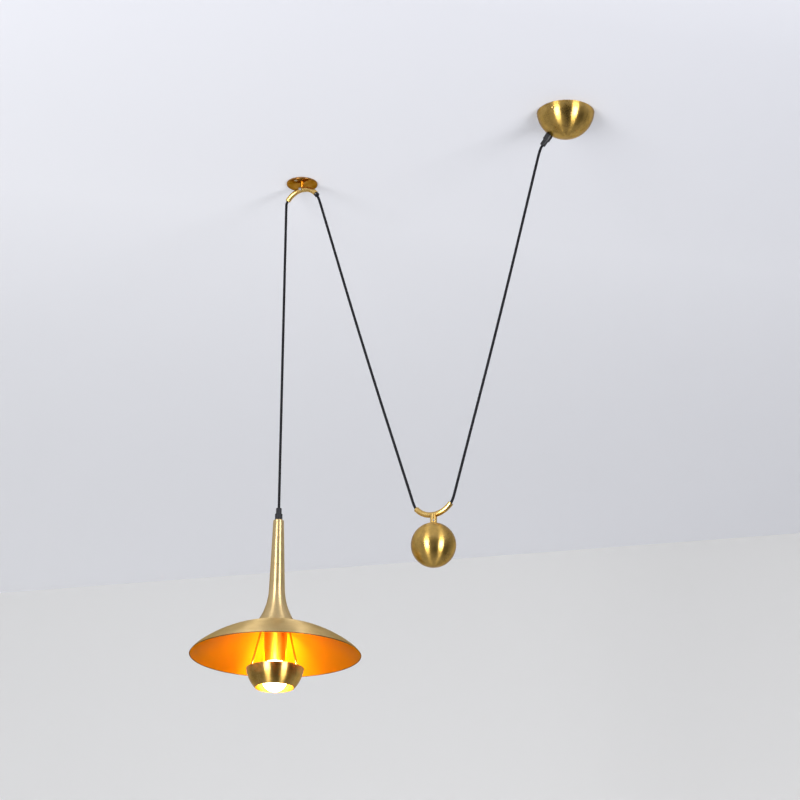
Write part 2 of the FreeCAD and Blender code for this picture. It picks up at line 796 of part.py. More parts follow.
def make_hook_tube_screw():
    """A cheese-headed screw in the tube's near side. Its shank ends short of the bore."""
    length = "(tube_screw_head_height + tube_radius - tube_bore_radius)"
    screw = turned(
        "hook_tube_screw",
        [
            ("0", "0"),
            ("tube_screw_head_radius", "0"),
            ("tube_screw_head_radius", "tube_screw_head_height"),
            ("tube_screw_radius", "tube_screw_head_height"),
            ("tube_screw_radius", length),
            ("0", length),
        ],
    )
    head_face = "-tube_radius - seat_gap - tube_screw_head_height"
    return put(screw, x="-hook_distance", y=head_face, z="-arch_drop", axis=(1, 0, 0), angle="-90")


node(make_plate())
node(make_plate_screws())
node(make_hook_stem())
node(make_stem_screw())
node(make_hook_tube())
node(make_hook_tube_screw())

# ---- cord stop ----


def make_cord_stop():
    """A collar clamped on the cord. It stops the cord at the inner end of the bent tube."""
    ring = turned(
        "stop_ring",
        [
            ("cord_radius + loose_gap", "0"),
            ("stop_radius", "0"),
            ("stop_radius", "stop_length"),
            ("cord_radius + loose_gap", "stop_length"),
        ],
    )
    hole = cylinder("stop_hole", "stop_screw_radius + fit_gap", "2 * stop_radius")
    put(hole, z="stop_length / 2", axis=(1, 0, 0), angle="90")
    stop = cut("cord_stop", ring, hole)
    return put(stop, x="stop_seat_x", z="stop_seat_z", axis=(0, 1, 0), angle="90 + arch_half_angle")


def make_stop_screw():
    """The stop's grub screw, from the -Y side."""
    length = "stop_radius - cord_radius - loose_gap - fit_gap"
    screw = cylinder("cord_stop_screw", "stop_screw_radius", length)
    middle = "(loose_gap + stop_length / 2)"
    return put(
        screw,
        x=f"-hook_distance + arch_reach + {middle} * cos(arch_half_angle)",
        y="-cord_radius - loose_gap",
        z=f"arch_end_z - {middle} * sin(arch_half_angle)",
        axis=(1, 0, 0),
        angle="90",
    )


node(make_cord_stop())
node(make_stop_screw())

# ---- counterweight ----


def neck_screw_hole(name, radius, length):
    """A round along the neck's set screw, outwards from the neck's axis."""
    turn = FreeCAD.Rotation(FreeCAD.Vector(0, 0, 1), value("neck_screw_angle"))
    rod = cylinder(name, radius, length)
    rod.Placement.Rotation = turn.multiply(FreeCAD.Rotation(FreeCAD.Vector(0, 1, 0), 90))
    return rod


def make_neck():
    """A turned neck: saddled onto the bent tube, bored for the stud and for a set screw."""
    blank = cylinder("neck_blank", "neck_radius", "neck_length + tube_radius")
    put(blank, x="-weight_distance", z="neck_foot_z")
    ring = ring_of_tube("saddle_ring", "saddle_radius", "-weight_distance", "saddle_centre_z")
    bore = cylinder("neck_bore", "stud_radius + fit_gap", "stud_in_neck + 2 * fit_gap")
    put(bore, x="-weight_distance", z="neck_foot_z - fit_gap")
    side = neck_screw_hole("neck_side_hole", "neck_screw_radius + fit_gap", "2 * neck_radius")
    side.setExpression("Placement.Base.x", bound("-weight_distance"))
    side.setExpression("Placement.Base.z", bound("neck_top_z - neck_screw_drop"))
    return cut("weight_neck", blank, fuse("neck_cuts", [ring, bore, side]))


def make_neck_screw():
    start = "(stud_radius + fit_gap)"
    screw = neck_screw_hole("weight_set_screw", "neck_screw_radius", f"neck_radius - {start} - 2 * fit_gap")
    screw.setExpression("Placement.Base.x", bound(f"-weight_distance + {start} * cos(neck_screw_angle)"))
    screw.setExpression("Placement.Base.y", bound(f"{start} * sin(neck_screw_angle)"))
    screw.setExpression("Placement.Base.z", bound("neck_top_z - neck_screw_drop"))
    return screw


def make_ball():
    """A turned brass ball shell with a small flat for the neck and a hole for the stud."""
    inner = "(ball_radius - ball_wall)"
    seat = "sqrt(ball_radius ^ 2 - neck_radius ^ 2)"
    hole = "(stud_radius + fit_gap)"
    shell = turned(
        "weight_ball",
        [
            (hole, seat),
            ("neck_radius", seat, "ball_radius", "right"),
            ("0", "-ball_radius"),
            ("0", f"-{inner}", inner, "left"),
            (hole, f"sqrt({inner} ^ 2 - {hole} ^ 2)"),
        ],
    )
    return put(shell, x="-weight_distance", z="ball_centre_z")


def make_ballast():
    """A steel ball inside the shell, tapped for the stud."""
    radius = "(ball_radius - ball_wall - 2 * fit_gap)"
    hole = "(stud_radius + fit_gap)"
    bottom = "(stud_top_z - stud_length - ball_centre_z - fit_gap)"
    core = turned(
        "weight_ballast",
        [
            ("0", bottom),
            (hole, bottom),
            (hole, f"sqrt({radius} ^ 2 - {hole} ^ 2)", radius, "right"),
            ("0", f"-{radius}"),
        ],
    )
    return put(core, x="-weight_distance", z="ball_centre_z")


node(
    put(
        bent_tube("weight_saddle_tube", "saddle_radius", "saddle_half_angle", "down"),
        x="-weight_distance",
        z="saddle_centre_z",
    )
)
node(make_neck())
node(make_neck_screw())
node(
    put(
        cylinder("weight_stud", "stud_radius", "stud_length"),
        x="-weight_distance",
        z="stud_top_z - stud_length",
    )
)
node(make_ball())
node(make_ballast())

# ---- lamp: stem, dome, cup and cover ----


def make_lamp_stem():
    """A spun trumpet: a slender cone that flares out to its foot on the dome."""
    wall = "lamp_stem_wall"
    inner_top = "lamp_stem_height - lamp_stem_plate"
    round_start = "lamp_stem_height - lamp_stem_round"
    stem = turned(
        "lamp_stem",
        [
            ("thread_radius + fit_gap", inner_top),
            (f"lamp_stem_top_radius - {wall}", inner_top),
            (f"flare_start_radius - {wall} * cos(cone_lean)", f"flare_height - {wall} * sin(cone_lean)",
             f"flare_arc + {wall}", "left"),
            ("foot_inner_radius", "0"),
            ("foot_radius", "0", "flare_arc", "right"),
            ("flare_start_radius", "flare_height"),
            ("lamp_stem_top_radius", round_start, "lamp_stem_round", "left"),
            ("lamp_stem_top_radius - lamp_stem_round", "lamp_stem_height"),
            ("thread_radius + fit_gap", "lamp_stem_height"),
        ],
    )
    return put(stem, x="lamp_x", z="foot_z")


def make_shade():
    """A spun dome: a shallow crown that turns down to its rim in a tighter knuckle."""
    dome = turned(
        "shade_dome",
        [
            ("shade_bore", "crown_centre + sqrt(crown_radius ^ 2 - shade_bore ^ 2)",
             "crown_radius", "right"),
            ("crown_radius * sin(knuckle_lean)", "crown_centre + crown_radius * cos(knuckle_lean)",
             "knuckle_radius", "right"),
            ("shade_radius", "0"),
            ("knuckle_x + sqrt(knuckle_inner ^ 2 - knuckle_z ^ 2)", "0", "knuckle_inner", "left"),
            ("crown_inner * sin(knuckle_lean)", "crown_centre + crown_inner * cos(knuckle_lean)",
             "crown_inner", "left"),
            ("shade_bore", "crown_centre + sqrt(crown_inner ^ 2 - shade_bore ^ 2)"),
        ],
    )
    return put(dome, x="lamp_x", z="-shade_rim_drop")


def rods(name, radius, stretch):
    """Three straight rods from the carrier down and outwards to the cup, one towards +X."""
    made = []
    for number in range(int(value("rod_count"))):
        rod = cylinder(f"{name}_{number}", radius, f"rod_length + 2 * {stretch}")
        around = FreeCAD.Rotation(FreeCAD.Vector(0, 0, 1), 360 * number / value("rod_count"))
        lean = FreeCAD.Rotation(FreeCAD.Vector(0, 1, 0), 180 - value("rod_lean"))
        rod.Placement.Rotation = around.multiply(lean)
        angle = f"360 * {number} / rod_count"
        start = f"(rod_top_circle - {stretch} * sin(rod_lean))"
        rod.setExpression("Placement.Base.x", bound(f"lamp_x + {start} * cos({angle})"))
        rod.setExpression("Placement.Base.y", bound(f"{start} * sin({angle})"))
        rod.setExpression("Placement.Base.z", bound(f"rod_top_z + {stretch} * cos(rod_lean)"))
        made.append(rod)
    return made


def make_carrier():
    """A turned disc under the crown of the dome, which the rods are screwed into."""
    disc = turned(
        "carrier_disc",
        [
            ("thread_radius + fit_gap", "-carrier_thickness"),
            ("carrier_radius", "-carrier_thickness"),
            ("carrier_radius", "0"),
            ("thread_radius + fit_gap", "0"),
        ],
    )
    put(disc, x="lamp_x", z="carrier_top_z")
    holes = rods("rod_hole", "rod_radius + fit_gap", "fit_gap")
    return cut("rod_carrier", disc, fuse("rod_holes", holes))


def make_cup():
    """The reflector: a spun bowl with a round side, open at its top and its bottom."""
    inside = "cup_centre_x + sqrt(cup_inner ^ 2 - {0} ^ 2)"
    cup = turned(
        "reflector_cup",
        [
            ("cup_radius", "0", "cup_arc_radius", "right"),
            ("cup_foot_radius", "-cup_height"),
            (inside.format("(cup_centre_z + cup_height)"), "-cup_height", "cup_inner", "left"),
            (inside.format("cup_centre_z"), "0"),
        ],
    )
    return put(cup, x="lamp_x", z="cup_rim_z")


def make_cover():
    """A spun tube with a closed top that covers the lampholder."""
    inner = "cover_radius - cover_wall"
    cover = turned(
        "socket_cover",
        [
            ("thread_radius + fit_gap", "0"),
            ("thread_radius + fit_gap", "-cover_plate"),
            (inner, "-cover_plate"),
            (inner, "-cover_height"),
            ("cover_radius", "-cover_height"),
            ("cover_radius", "-cover_round", "cover_round", "left"),
            ("cover_radius - cover_round", "0"),
        ],
    )
    return put(cover, x="lamp_x", z="cover_top_z")


def make_lamp_tube():
    """The threaded tube that clamps stem, dome, carrier and cover together."""
    tube = turned(
        "lamp_tube",
        [
            ("lamp_tube_bore_radius", "0"),
            ("thread_radius", "0"),
            ("thread_radius", "lamp_tube_top_z - lamp_tube_foot_z"),
            ("lamp_tube_bore_radius", "lamp_tube_top_z - lamp_tube_foot_z"),
        ],
    )
    return put(tube, x="lamp_x", z="lamp_tube_foot_z")


node(make_lamp_stem())
node(
    nut("stem_coupling", "coupling_radius", "coupling_height", "lamp_x", "coupling_top_z - coupling_height")
)
node(make_lamp_tube())
node(make_shade())
node(make_carrier())
node(group("cup_rods", rods("cup_rod", "rod_radius", "0")))
node(make_cup())
node(make_cover())
node(nut("clamp_nut", "clamp_nut_radius", "clamp_nut_height", "lamp_x", "clamp_nut_z"))

# ---- lamp: lampholder and bulb ----


def make_holder_cap():
    """The lampholder's upper half: a domed cap, threaded onto the tube, hollow for the wires."""
    cap = turned(
        "lampholder_cap",
        [
            ("thread_radius + fit_gap", "0"),
            ("thread_radius + fit_gap", "-holder_thread_depth"),
            ("holder_radius - holder_cap_wall", "-holder_thread_depth"),
            ("holder_radius - holder_cap_wall", "-holder_cap_height"),
            ("holder_radius", "-holder_cap_height"),
            ("holder_radius", "-holder_cap_shoulder"),
            ("holder_radius - holder_cap_shoulder", "0"),
        ],
    )
    return put(cap, x="lamp_x", z="holder_top_z")


def make_holder_body():
    """The lampholder's lower half, with the socket that the screw shell lies in."""
    body = turned(
        "lampholder_body",
        [
            ("0", "holder_height"),
            ("0", "socket_depth"),
            ("shell_radius + fit_gap", "socket_depth"),
            ("shell_radius + fit_gap", "0"),
            ("holder_radius", "0"),
            ("holder_radius", "holder_height"),
        ],
    )
    return put(body, x="lamp_x", z="holder_foot_z")


def make_screw_shell():
    """The metal shell that the bulb's cap is screwed into."""
    shell = turned(
        "lampholder_screw_shell",
        [
            ("shell_radius - shell_wall", "0"),
            ("shell_radius", "0"),
            ("shell_radius", "shell_length"),
            ("shell_radius - shell_wall", "shell_length"),
        ],
    )
    return put(shell, x="lamp_x", z="socket_top_z - shell_length")


def make_bulb_cap():
    """The bulb's screw cap, its tip upwards."""
    cap = turned(
        "bulb_cap",
        [
            ("0", "0"),
            ("bulb_tip_radius", "0"),
            ("bulb_cap_radius", "-bulb_tip_height"),
            ("bulb_cap_radius", "-bulb_cap_length"),
            ("bulb_neck_radius + fit_gap", "-bulb_cap_length"),
            ("bulb_neck_radius + fit_gap", "-bulb_tip_height - bulb_wall"),
            ("0", "-bulb_tip_height - bulb_wall"),
        ],
    )
    return put(cap, x="lamp_x", z="bulb_tip_z")


def make_bulb_globe():
    """The opal glass: a neck in the cap, a cone and a globe, drawn from the globe's centre."""
    inner = "(bulb_globe_radius - bulb_wall)"
    neck_inner = "(bulb_neck_radius - bulb_wall)"
    globe = turned(
        "bulb_globe",
        [
            ("bulb_neck_radius", "bulb_neck_height + bulb_in_cap"),
            (neck_inner, "bulb_neck_height + bulb_in_cap"),
            (neck_inner, "bulb_neck_height"),
            (f"{inner} * cos(bulb_join)", f"{inner} * sin(bulb_join)", inner, "right"),
            ("0", f"-{inner}"),
            ("0", "-bulb_globe_radius", "bulb_globe_radius", "left"),
            ("bulb_globe_radius * cos(bulb_join)", "bulb_globe_radius * sin(bulb_join)"),
            ("bulb_neck_radius", "bulb_neck_height"),
        ],
    )
    return put(globe, x="lamp_x", z="bulb_centre_z")


node(make_holder_cap())
node(make_holder_body())
node(make_screw_shell())
node(
    put(
        cylinder("lampholder_contact", "contact_radius", "contact_height - seat_gap"),
        x="lamp_x",
        z="socket_top_z - contact_height",
    )
)
node(make_bulb_cap())
node(make_bulb_globe())

# ---- cord ----


def point(x, z):
    """A point in the plane that the cord lies in."""
    return FreeCAD.Vector(value(x), 0, value(z))


def bend(before, corner, after, radius):
    """The tangent arc that rounds a corner."""
    back = (before - corner).normalize()
    on = (after - corner).normalize()
    half_turn = (math.pi - back.getAngle(on)) / 2
    reach = radius * math.tan(half_turn)
    inside = (back + on).normalize()
    middle = corner + inside * (radius / math.cos(half_turn) - radius)
    return Part.Arc(corner + back * reach, middle, corner + on * reach)


def bend_radius_at(before, corner, after, share):
    """The radius of the arc that takes up a share of the shorter run at a corner."""
    half_turn = (math.pi - (before - corner).getAngle(after - corner)) / 2
    shorter = min((before - corner).Length, (after - corner).Length)
    return share * shorter / math.tan(half_turn)


def cord_along(label, curves):
    """A round cord along curves that follow each other, with its bends and length printed."""
    path = Part.Wire([curve.toShape() for curve in curves])
    start = curves[0].StartPoint
    along = path.Edges[0].tangentAt(path.Edges[0].FirstParameter)
    if (path.Edges[0].valueAt(path.Edges[0].FirstParameter) - start).Length > 1e-6:
        along = -along
    radius = value("cord_radius")
    ring = Part.Wire([Part.Circle(start, along, radius).toShape()])
    cord = doc.addObject("Part::Feature", label)
    cord.Shape = path.makePipeShell([ring], True, False)
    cord.Placement = FreeCAD.Placement()
    expected = math.pi * radius**2 * path.Length
    bends = [round(curve.Radius, 1) for curve in curves if isinstance(curve, (Part.Arc, Part.ArcOfCircle))]
    share = abs(cord.Shape.Volume) / expected
    print(f"{label}: length {path.Length:.1f}, bend radii {bends}, volume share {share:.4f}")
    return cord


def rounded(points, radii):
    """Straight runs between points, with a tangent arc at each inner point."""
    curves = []
    start = points[0]
    for number, radius in enumerate(radii, start=1):
        arc = bend(points[number - 1], points[number], points[number + 1], radius)
        arc_edge = arc.toShape()
        arc_start = arc_edge.valueAt(arc_edge.FirstParameter)
        arc_end = arc_edge.valueAt(arc_edge.LastParameter)
        if (arc_start - start).Length > 1e-6:
            curves.append(Part.LineSegment(start, arc_start))
        curves.append(arc_edge.Curve.trim(arc_edge.FirstParameter, arc_edge.LastParameter))
        start = arc_end
    curves.append(Part.LineSegment(start, points[-1]))
    return curves


HOOK_INNER_END = point("-hook_distance + arch_reach", "arch_end_z")
HOOK_OUTER_END = point("-hook_distance - arch_reach", "arch_end_z")
HOOK_INNER_BEND = point(
    "-hook_distance + arch_reach + hook_exit_run * cos(arch_half_angle)",
    "arch_end_z - hook_exit_run * sin(arch_half_angle)",
)
LAMP_BEND = point("lamp_x", "arch_end_z - lamp_exit_run * sin(arch_half_angle)")
LAMP_CORD_TOP = point("lamp_x", "arch_end_z - lamp_exit_run - lamp_cord_start")
LAMP_CORD_END = point("lamp_x", "lamp_grip_end_z")
SADDLE_HOOK_END = point("-weight_distance - saddle_reach", "saddle_end_z")
SADDLE_CANOPY_END = point("-weight_distance + saddle_reach", "saddle_end_z")
SADDLE_HOOK_BEND = point(
    "-weight_distance - saddle_reach - saddle_exit_run * cos(saddle_half_angle)",
    "saddle_end_z + saddle_exit_run * sin(saddle_half_angle)",
)
SADDLE_CANOPY_BEND = point(
    "-weight_distance + saddle_reach + saddle_exit_run * cos(saddle_half_angle)",
    "saddle_end_z + saddle_exit_run * sin(saddle_half_angle)",
)
GRIP_END = point("grip_end_x", "grip_end_z")
GRIP_BEND = point(
    "grip_end_x - grip_exit_run * sin(grip_lean)",
    "grip_end_z - grip_exit_run * cos(grip_lean)",
)
EXIT_SHARE = value("exit_share")


def free_stretch(label, points):
    """A tight stretch between two exits, with a bend close to each."""
    radii = [
        bend_radius_at(points[0], points[1], points[2], EXIT_SHARE),
        bend_radius_at(points[1], points[2], points[3], EXIT_SHARE),
    ]
    return cord_along(label, rounded(points, radii))


def through_tube(start, middle, end):
    """The cord's stretch inside a bent tube, on the tube's centre line."""
    edge = Part.Arc(start, middle, end).toShape()
    return edge.Curve.trim(edge.FirstParameter, edge.LastParameter)


def make_cord_in_hook():
    """Through the bent tube and down round its outer lip, to where it hangs straight."""
    top = point("-hook_distance", "-arch_drop")
    radius = bend_radius_at(HOOK_OUTER_END, LAMP_BEND, LAMP_CORD_TOP, EXIT_SHARE)
    tail = rounded([HOOK_OUTER_END, LAMP_BEND, LAMP_CORD_TOP], [radius])
    return cord_along("cord_in_hook", [through_tube(HOOK_INNER_END, top, HOOK_OUTER_END)] + tail)


def make_cord_in_canopy():
    """From the nose of the grip straight into the canopy and round into the terminal block."""
    turn_x = "(block_width / 2 + fit_gap + block_entry_run)"
    turn_z = f"canopy_centre - {turn_x} / tan(grip_lean)"
    turn = point(f"-{turn_x}", turn_z)
    block_side = point("-block_width / 2 - fit_gap", turn_z)
    radius = bend_radius_at(GRIP_END, turn, block_side, EXIT_SHARE)
    return cord_along("cord_in_canopy", rounded([GRIP_END, turn, block_side], [radius]))


node(make_cord_in_canopy())
node(
    free_stretch(
        "cord_canopy_to_weight",
        [GRIP_END, GRIP_BEND, SADDLE_CANOPY_BEND, SADDLE_CANOPY_END],
    )
)
node(
    cord_along(
        "cord_in_saddle",
        [through_tube(SADDLE_CANOPY_END, point("-weight_distance", "-saddle_drop"), SADDLE_HOOK_END)],
    )
)
node(
    free_stretch(
        "cord_weight_to_hook",
        [SADDLE_HOOK_END, SADDLE_HOOK_BEND, HOOK_INNER_BEND, HOOK_INNER_END],
    )
)
node(make_cord_in_hook())
node(cord_along("cord_hook_to_lamp", [Part.LineSegment(LAMP_CORD_TOP, LAMP_CORD_END)]))
node(
    cord_along(
        "cord_in_lamp",
        [Part.LineSegment(LAMP_CORD_END, point("lamp_x", "lamp_tube_foot_z - cord_radius"))],
    )
)

# ---- checks and export ----

doc.recompute()
for item in doc.Objects:
    if "Invalid" in item.State or "Error" in item.State:
        raise RuntimeError(f"{item.Label} failed: {item.State}")
os.makedirs("parts", exist_ok=True)
for piece in NODES:
    shape = piece.Shape
    if shape.isNull() or not shape.isValid() or not shape.Solids:
        raise RuntimeError(f"{piece.Label} has no valid solid")
    shape.exportStep(f"parts/{piece.Label}.step")
print(f"{len(NODES)} nodes written")
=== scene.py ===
import math

import bpy
from mathutils import Matrix, Vector


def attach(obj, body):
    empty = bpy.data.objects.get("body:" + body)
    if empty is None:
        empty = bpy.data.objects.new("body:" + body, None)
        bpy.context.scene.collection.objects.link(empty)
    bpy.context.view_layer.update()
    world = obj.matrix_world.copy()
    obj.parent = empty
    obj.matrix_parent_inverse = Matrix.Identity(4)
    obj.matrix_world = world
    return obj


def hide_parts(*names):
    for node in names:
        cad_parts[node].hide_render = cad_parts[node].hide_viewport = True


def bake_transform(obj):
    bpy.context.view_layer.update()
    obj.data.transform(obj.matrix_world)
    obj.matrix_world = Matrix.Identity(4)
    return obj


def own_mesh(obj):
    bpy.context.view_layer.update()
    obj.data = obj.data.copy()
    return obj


# The looks of a rise and fall pendant, in metres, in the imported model's frame: +Z up, the
# canopy's ceiling face round the origin, the second ceiling plate and the lamp towards -X.

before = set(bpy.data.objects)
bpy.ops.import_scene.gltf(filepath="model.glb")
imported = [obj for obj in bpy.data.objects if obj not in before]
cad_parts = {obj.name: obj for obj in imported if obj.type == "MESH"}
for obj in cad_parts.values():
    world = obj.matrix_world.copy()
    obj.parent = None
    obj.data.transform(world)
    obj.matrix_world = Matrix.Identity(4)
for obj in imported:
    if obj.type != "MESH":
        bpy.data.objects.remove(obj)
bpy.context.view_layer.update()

ROOT, LAMP, WEIGHT = "ceiling", "lamp", "counterweight"
LAMP_X = -0.69674
WEIGHT_X = -0.3185
CORD_RADIUS = 0.0028


def grey(level):
    return (level, level, level, 1)


def rgb(red, green, blue):
    return (red, green, blue, 1)


def lighter(colour, times, more=0.0):
    """A colour made paler, still within white."""
    return tuple(min(1, part * times + more) for part in colour[:3]) + (1,)


def add_object(name, data):
    """A new object in the scene."""
    made = bpy.data.objects.new(name, data)
    bpy.context.collection.objects.link(made)
    return made


# ---- camera ----

SENSOR_WIDTH = 36
FOCAL_SHARE = 2462.7 / 800  # focal length over the picture's width
CAMERA_PLACE = Vector((2.0674, -4.0975, -2.4244))
CAMERA_YAW = math.radians(31.05)
CAMERA_PITCH = math.radians(21.25)
CAMERA_ROLL = math.radians(0.34)
CAMERA_REACH = 60


def make_camera():
    """The photograph's own viewpoint: below the lamp, to the canopy's side, looking up."""
    level = Vector((-math.sin(CAMERA_YAW), math.cos(CAMERA_YAW), 0))
    ahead = math.cos(CAMERA_PITCH) * level + math.sin(CAMERA_PITCH) * Vector((0, 0, 1))
    right = Vector((math.cos(CAMERA_YAW), math.sin(CAMERA_YAW), 0))
    up = right.cross(ahead)
    rolled_right = math.cos(CAMERA_ROLL) * right + math.sin(CAMERA_ROLL) * up
    rolled_up = -math.sin(CAMERA_ROLL) * right + math.cos(CAMERA_ROLL) * up
    data = bpy.data.cameras.new("camera")
    data.sensor_width = SENSOR_WIDTH
    data.lens = SENSOR_WIDTH * FOCAL_SHARE
    data.clip_end = CAMERA_REACH
    camera = add_object("camera", data)
    turn = Matrix((rolled_right, rolled_up, -ahead)).transposed()
    camera.matrix_world = Matrix.Translation(CAMERA_PLACE) @ turn.to_4x4()
    bpy.context.scene.camera = camera


make_camera()

# ---- node materials ----


class Nodes:
    """A material's node tree, with short calls to add nodes and join them."""

    def __init__(self, name):
        self.material = bpy.data.materials.new(name)
        self.material.use_nodes = True
        self.tree = self.material.node_tree
        self.shader = self.tree.nodes["Principled BSDF"]
        self.output = self.tree.nodes["Material Output"]

    def add(self, kind, **settings):
        made = self.tree.nodes.new(kind)
        for key, setting in settings.items():
            setattr(made, key, setting)
        return made

    def join(self, source, target):
        self.tree.links.new(source, target)

    def feed(self, socket, source):
        """Join an output to a socket, or set the socket to a number."""
        if isinstance(source, bpy.types.NodeSocket):
            self.join(source, socket)
        else:
            socket.default_value = source

    def link(self, **sources):
        """Join outputs to the shader's sockets, by the sockets' names."""
        for key, source in sources.items():
            self.join(source, self.shader.inputs[key.replace("_", " ")])

    def set(self, **constants):
        """Set the shader's sockets to constants, by the sockets' names."""
        for key, constant in constants.items():
            self.shader.inputs[key.replace("_", " ")].default_value = constant

    def linked(self, key):
        """What is joined to one of the shader's sockets so far."""
        return self.shader.inputs[key].links[0].from_socket

    def place(self):
        return self.add("ShaderNodeTexCoord").outputs["Object"]

    def math(self, operation, first, second=0.0, third=0.0):
        made = self.add("ShaderNodeMath", operation=operation)
        for socket, source in zip(made.inputs, (first, second, third)):
            self.feed(socket, source)
        return made.outputs[0]

    def along(self, place, direction):
        """How far a place lies along a direction."""
        made = self.add("ShaderNodeVectorMath", operation="DOT_PRODUCT")
        made.inputs[1].default_value = direction
        self.join(place, made.inputs[0])
        return made.outputs["Value"]

    def mix(self, share, first, second):
        """A colour between two."""
        made = self.add("ShaderNodeMix", data_type="RGBA")
        self.feed(made.inputs[0], share)
        self.feed(made.inputs[6], first)
        self.feed(made.inputs[7], second)
        return made.outputs[2]

    def span(self, source, low, high, to_low=0.0, to_high=1.0):
        """A number moved from one range to another, and kept inside it."""
        made = self.add("ShaderNodeMapRange")
        for socket, number in zip(made.inputs[1:5], (low, high, to_low, to_high)):
            socket.default_value = number
        self.join(source, made.inputs[0])
        return made.outputs[0]

    def spread(self, noise, to_low=0.0, to_high=1.0):
        """A noise, which mostly lies near its middle, spread over a range."""
        return self.span(noise, 0.3, 0.7, to_low, to_high)

    def noise(self, vector, scale, detail=3.0, roughness=0.55):
        made = self.add("ShaderNodeTexNoise")
        made.inputs["Scale"].default_value = scale
        made.inputs["Detail"].default_value = detail
        made.inputs["Roughness"].default_value = roughness
        self.join(vector, made.inputs["Vector"])
        return made.outputs["Fac"]

    def bump(self, height, strength, distance):
        made = self.add("ShaderNodeBump")
        made.inputs["Strength"].default_value = strength
        made.inputs["Distance"].default_value = distance
        self.join(height, made.inputs["Height"])
        self.link(Normal=made.outputs["Normal"])


class AroundAxis:
    """Places on a turned piece: distance from its vertical axis, height, the turn round it,
    and how far its surface faces away from the axis and up."""

    def __init__(self, nodes, axis_x):
        coordinates = nodes.add("ShaderNodeTexCoord")
        self.place = coordinates.outputs["Object"]
        apart = nodes.add("ShaderNodeSeparateXYZ")
        nodes.join(self.place, apart.inputs[0])
        across = nodes.math("SUBTRACT", apart.outputs[0], axis_x)
        square = nodes.math("ADD", nodes.math("MULTIPLY", across, across),
                            nodes.math("MULTIPLY", apart.outputs[1], apart.outputs[1]))
        self.reach = nodes.math("SQRT", square)
        self.height = apart.outputs[2]
        self.turn = nodes.math("ARCTAN2", apart.outputs[1], across)
        facing = nodes.add("ShaderNodeSeparateXYZ")
        nodes.join(coordinates.outputs["Normal"], facing.inputs[0])
        outward = nodes.math("ADD", nodes.math("MULTIPLY", facing.outputs[0], across),
                             nodes.math("MULTIPLY", facing.outputs[1], apart.outputs[1]))
        self.outward = nodes.math("DIVIDE", outward, self.reach)
        self.upward = facing.outputs[2]


BRASS_EDGE = rgb(0.55, 0.40, 0.15)  # the tint of brass seen at a flat angle
RING_SCALE = 2600
RING_DRAW = 0.0012  # metres of noise for a radian of turn, so that the rings run long
TONE_SHARE, SATIN_SHARE, RING_SHARE = 0.68, 0.12, 0.2


def spun_brass(name, axis_x, pale, deep, roughness, coat=0.45):
    """Lacquered brass, brushed on a lathe: fine rings round a vertical axis, which draw each
    highlight out across them, a satin grain and a slightly uneven tone."""
    nodes = Nodes(name)
    around = AroundAxis(nodes, axis_x)
    rings = nodes.add("ShaderNodeCombineXYZ")
    nodes.join(around.reach, rings.inputs[0])
    nodes.join(around.height, rings.inputs[1])
    nodes.join(nodes.math("MULTIPLY", around.turn, RING_DRAW), rings.inputs[2])
    brushed = nodes.noise(rings.outputs[0], RING_SCALE, detail=4.0, roughness=0.7)
    tone = nodes.noise(around.place, 26, detail=6.0, roughness=0.65)
    satin = nodes.noise(around.place, 700, detail=3.0, roughness=0.6)
    fine = nodes.math("ADD", nodes.math("MULTIPLY", nodes.spread(satin), SATIN_SHARE),
                      nodes.math("MULTIPLY", nodes.spread(brushed), RING_SHARE))
    shade = nodes.math("ADD", nodes.math("MULTIPLY", nodes.spread(tone), TONE_SHARE), fine)
    uneven = nodes.math("ADD", nodes.span(tone, 0.35, 0.7, roughness - 0.02, roughness + 0.03),
                        nodes.spread(satin, -0.02, 0.02))
    tangent = nodes.add("ShaderNodeTangent", direction_type="RADIAL", axis="Z")
    nodes.link(Base_Color=nodes.mix(shade, deep, pale), Roughness=uneven,
               Tangent=tangent.outputs[0])
    nodes.set(Metallic=1.0, Specular_Tint=BRASS_EDGE, Anisotropic=0.93, Anisotropic_Rotation=0.25,
              Coat_Weight=coat, Coat_Roughness=0.16)
    nodes.bump(brushed, 0.05, 0.00003)
    return nodes, around


def spun_piece(name, axis_x, pale, deep, roughness):
    return spun_brass(name, axis_x, pale, deep, roughness)[0].material


def brass_bar(name, pale, deep, roughness):
    """Drawn and polished brass: a little uneven in tone, with fine wipe marks."""
    nodes = Nodes(name)
    place = nodes.place()
    tone = nodes.noise(place, 60, detail=4.0)
    fine = nodes.noise(place, 420)
    nodes.link(Base_Color=nodes.mix(nodes.spread(tone), deep, pale),
               Roughness=nodes.spread(fine, roughness - 0.03, roughness + 0.04))
    nodes.set(Metallic=1.0, Specular_Tint=BRASS_EDGE)
    nodes.bump(fine, 0.04, 0.00002)
    return nodes.material


def steel(name, level, roughness):
    """Zinc-plated steel, faintly mottled."""
    nodes = Nodes(name)
    place = nodes.place()
    spangle = nodes.noise(place, 400)
    wear = nodes.noise(place, 900, detail=4.0)
    cool = rgb(level * 0.96, level * 0.98, level)
    nodes.link(Base_Color=nodes.mix(nodes.spread(spangle), grey(level * 0.8), cool),
               Roughness=nodes.spread(wear, roughness - 0.06, roughness + 0.08))
    nodes.set(Metallic=1.0)
    nodes.bump(wear, 0.15, 0.00005)
    return nodes.material


RIB_PITCH = 0.0027


